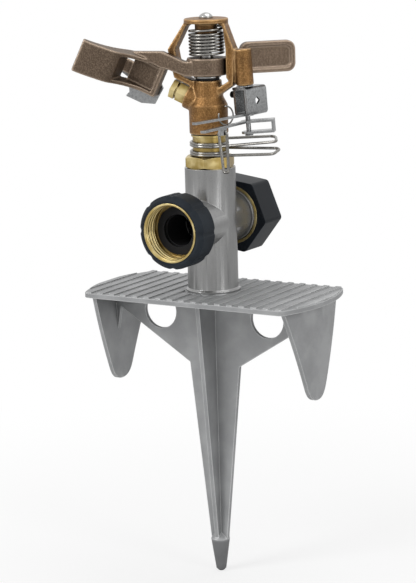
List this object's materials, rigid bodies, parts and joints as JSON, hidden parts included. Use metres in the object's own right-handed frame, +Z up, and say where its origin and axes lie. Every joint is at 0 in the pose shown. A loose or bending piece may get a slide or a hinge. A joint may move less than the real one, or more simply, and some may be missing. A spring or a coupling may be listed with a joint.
{
  "type": "garden sprinkler",
  "caption": "Impact sprinkler on a step spike: swivel hose inlet, capped outlet, turning head with sprung arm, spoon, counterweight, trip levers and friction collars.",
  "frame": {"origin": "on the spike's axis, at the underside of the step plate, which is the ground's surface when the spike is pushed in", "axes": "+Z up along the spike and the riser, X along the step plate's long side, +Y from the hose inlet towards the capped outlet"},
  "size_m": [0.1286, 0.0835, 0.2868],
  "materials": {
    "grey_casting": "cast, mid grey with worn bright ridge edges",
    "satin_zinc": "satin with fine turning marks",
    "black_tail": "moulded black",
    "brass": "machined, slightly dull",
    "rubber": "matt black rubber",
    "black_plastic": "moulded black with a soft sheen",
    "spring_steel": "bright drawn wire",
    "bronze": "as-cast bronze, golden brown",
    "arm_bronze": "as-cast, brown grey, brushed edges",
    "stainless": "pressed sheet, satin",
    "polished_steel": "polished",
    "seal": "black seal",
    "white_bush": "natural white bush"
  },
  "bodies": {
    "base": {"step_spike": "grey_casting", "riser_tee": "satin_zinc", "inlet_tail": "black_tail", "outlet_nipple": "satin_zinc", "bearing_nut": "brass", "bearing_spring": "spring_steel", "thrust_washer": "white_bush"},
    "inlet_swivel": {"inlet_nut": "brass", "inlet_grip": "rubber", "inlet_washer": "seal"},
    "cap_slide": {"cap_washer": "seal"},
    "cap": {"outlet_cap": "black_plastic", "cap_insert": "brass"},
    "collar_lower": {"collar_lower": "spring_steel"},
    "collar_upper": {"collar_upper": "spring_steel"},
    "head": {"head_body": "bronze", "bearing_tube": "brass", "nozzle": "brass", "fulcrum_pin": "polished_steel", "hub_seal": "seal", "hub_washer": "polished_steel", "trip_pin": "stainless", "trip_washer": "stainless", "arm_spring": "spring_steel"},
    "arm": {"arm": "arm_bronze", "arm_bushing": "polished_steel", "flap_rivet": "brass"},
    "flap": {"deflector_flap": "stainless"},
    "trip_upper": {"trip_bracket": "stainless", "trip_peg": "seal", "toggle_spring": "spring_steel"},
    "trip_lower": {"trip_lever": "stainless"},
    "bail": {"trip_bail": "spring_steel"}
  },
  "joints": [
    {"name": "inlet_swivel_turn", "type": "hinge", "parent": "base", "child": "inlet_swivel", "pos_m": [0, -0.034, 0.0381], "axis": [0, 1, 0], "continuous": true},
    {"name": "cap_unscrew", "type": "slide", "parent": "base", "child": "cap_slide", "axis": [0, 1, 0], "range_m": [0, 0.0115]},
    {"name": "cap_turn", "type": "hinge", "parent": "cap_slide", "child": "cap", "pos_m": [0, 0.03, 0.0381], "axis": [0, 1, 0], "range_deg": [0, 1875]},
    {"name": "collar_lower_turn", "type": "hinge", "parent": "base", "child": "collar_lower", "pos_m": [0, 0, 0.075], "axis": [0, 0, 1], "range_deg": [-20, 220]},
    {"name": "collar_upper_turn", "type": "hinge", "parent": "base", "child": "collar_upper", "pos_m": [0, 0, 0.079], "axis": [0, 0, 1], "range_deg": [-40, 200]},
    {"name": "head_turn", "type": "hinge", "parent": "base", "child": "head", "pos_m": [0, 0, 0.082], "axis": [0, 0, 1], "range_deg": [-250, 20]},
    {"name": "arm_swing", "type": "hinge", "parent": "head", "child": "arm", "pos_m": [0, 0, 0.115], "axis": [0, 0, 1], "range_deg": [0, 90], "stiffness_Nm_per_rad": 0.03, "springref_deg": -17.19},
    {"name": "flap_tilt", "type": "hinge", "parent": "arm", "child": "flap", "pos_m": [-0.04373, -0.0109, 0.1167], "axis": [-0.2419, 0.9703, 0], "range_deg": [0, 35]},
    {"name": "trip_bracket_turn", "type": "hinge", "parent": "head", "child": "trip_upper", "pos_m": [0.01873, 0.00467, 0.1063], "axis": [-0.0592, -0.0148, 0.9981], "range_deg": [-10, 10]},
    {"name": "trip_lever_turn", "type": "hinge", "parent": "head", "child": "trip_lower", "pos_m": [0.01873, 0.00467, 0.1063], "axis": [-0.0592, -0.0148, 0.9981], "range_deg": [-10, 10]},
    {"name": "bail_swing", "type": "hinge", "parent": "trip_lower", "child": "bail", "pos_m": [0.01803, -0.01685, 0.0857], "axis": [-0.9945, 0.0876, -0.0577], "range_deg": [0, 60]}
  ],
  "couplings": [
    {"joint": "cap_turn", "follows": "cap_unscrew", "rad_per_m": 2844.7}
  ]
}
